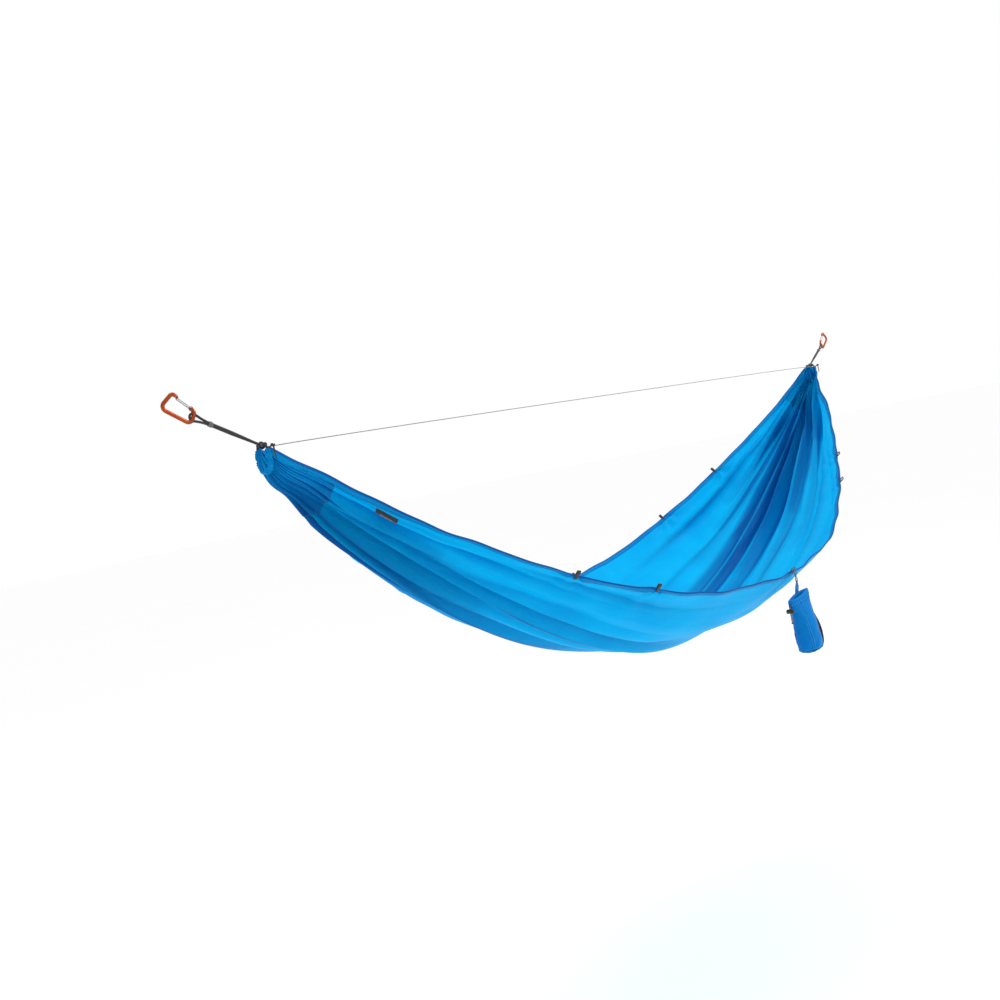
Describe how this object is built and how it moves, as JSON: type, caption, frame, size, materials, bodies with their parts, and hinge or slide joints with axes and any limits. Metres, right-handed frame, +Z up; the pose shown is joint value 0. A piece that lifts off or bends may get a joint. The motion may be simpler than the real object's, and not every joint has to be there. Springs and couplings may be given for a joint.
{
  "type": "camping hammock",
  "caption": "Gathered-end camping hammock with structural ridgeline, wire-gate carabiners, spliced suspension cords and a stuff sack hung on one edge.",
  "frame": {"origin": "inner face of the head carabiner's wide bend, where the tree strap bears", "axes": "+X from the head anchor to the foot anchor, +Z up, near side (the side of the stuff sack) towards -Y"},
  "size_m": [3.1247, 0.9432, 0.9873],
  "materials": {
    "anodised_orange": "bead blasted and anodised, worn bright at the spine",
    "steel_wire": "drawn stainless wire",
    "black_braid": "braided polyester cord",
    "grey_braid": "thin braided cord",
    "blue_nylon": "thin translucent ripstop nylon",
    "double_nylon": "two layers of ripstop nylon",
    "hem_nylon": "rolled and stitched nylon hem",
    "black_ribbon": "woven ribbon",
    "label_cloth": "woven label, no lettering",
    "blue_webbing": "flat woven tape",
    "black_plastic": "moulded acetal"
  },
  "bodies": {
    "anchor_hardware": {"head_carabiner_body": "anodised_orange", "foot_carabiner_body": "anodised_orange"},
    "head_gate": {"head_gate_wire": "steel_wire"},
    "foot_gate": {"foot_gate_wire": "steel_wire"},
    "hammock": {"head_suspension_cord": "black_braid", "head_suspension_sleeve": "grey_braid", "head_gather_cord": "black_braid", "head_end_channel": "double_nylon", "head_gather_wraps": "black_braid", "head_gather_knot": "black_braid", "head_ridgeline_knot": "grey_braid", "head_end_reinforcement": "double_nylon", "foot_suspension_cord": "black_braid", "foot_suspension_sleeve": "grey_braid", "foot_gather_cord": "black_braid", "foot_end_channel": "double_nylon", "foot_gather_wraps": "black_braid", "foot_gather_knot": "black_braid", "foot_ridgeline_knot": "grey_braid", "foot_end_reinforcement": "double_nylon", "ridgeline": "grey_braid", "bed_panel": "blue_nylon", "near_edge_hem": "hem_nylon", "far_edge_hem": "hem_nylon", "woven_label": "label_cloth", "near_edge_loops": "black_ribbon", "far_edge_loops": "black_ribbon"},
    "sack_link": {"sack_link_cord": "black_braid"},
    "stuff_sack": {"sack_hanging_strap": "blue_webbing", "stuff_sack_body": "blue_nylon", "stuff_sack_base": "double_nylon", "sack_mouth_channel": "hem_nylon", "drawcord_in_channel": "black_braid", "drawcord": "black_braid", "drawcord_knot": "black_braid", "sack_grab_loop": "black_ribbon"},
    "cord_lock": {"cord_lock_barrel": "black_plastic", "cord_lock_spring": "steel_wire"},
    "cord_lock_button": {"cord_lock_button": "black_plastic"}
  },
  "joints": [
    {"name": "hammock_swing", "type": "hinge", "parent": "anchor_hardware", "child": "hammock", "pos_m": [0.05678, 0, -0.02956], "axis": [1, 0, 0], "range_deg": [-30, 30]},
    {"name": "head_gate_hinge", "type": "hinge", "parent": "anchor_hardware", "child": "head_gate", "pos_m": [0.05576, 0, -0.01148], "axis": [0, -1, 0], "range_deg": [0, 25], "stiffness_Nm_per_rad": 0.3, "springref_deg": -17.19},
    {"name": "foot_gate_hinge", "type": "hinge", "parent": "anchor_hardware", "child": "foot_gate", "pos_m": [3.05052, 0, -0.01148], "axis": [0, 1, 0], "range_deg": [0, 25], "stiffness_Nm_per_rad": 0.3, "springref_deg": -17.19},
    {"name": "sack_link_swing", "type": "hinge", "parent": "hammock", "child": "sack_link", "pos_m": [1.59818, -0.43326, -0.71972], "axis": [1, 0, 0], "range_deg": [-75, 20]},
    {"name": "sack_swing", "type": "hinge", "parent": "sack_link", "child": "stuff_sack", "pos_m": [1.59818, -0.43326, -0.74632], "axis": [0, 1, 0], "range_deg": [-40, 40]},
    {"name": "cord_lock_slide", "type": "slide", "parent": "stuff_sack", "child": "cord_lock", "axis": [0, 0, 1], "range_m": [-0.022, 0.004]},
    {"name": "cord_lock_press", "type": "slide", "parent": "cord_lock", "child": "cord_lock_button", "axis": [0, 1, 0], "range_m": [0, 0.003], "stiffness_N_per_m": 1200, "springref_m": -0.001, "deforming": ["cord_lock_spring"]}
  ]
}
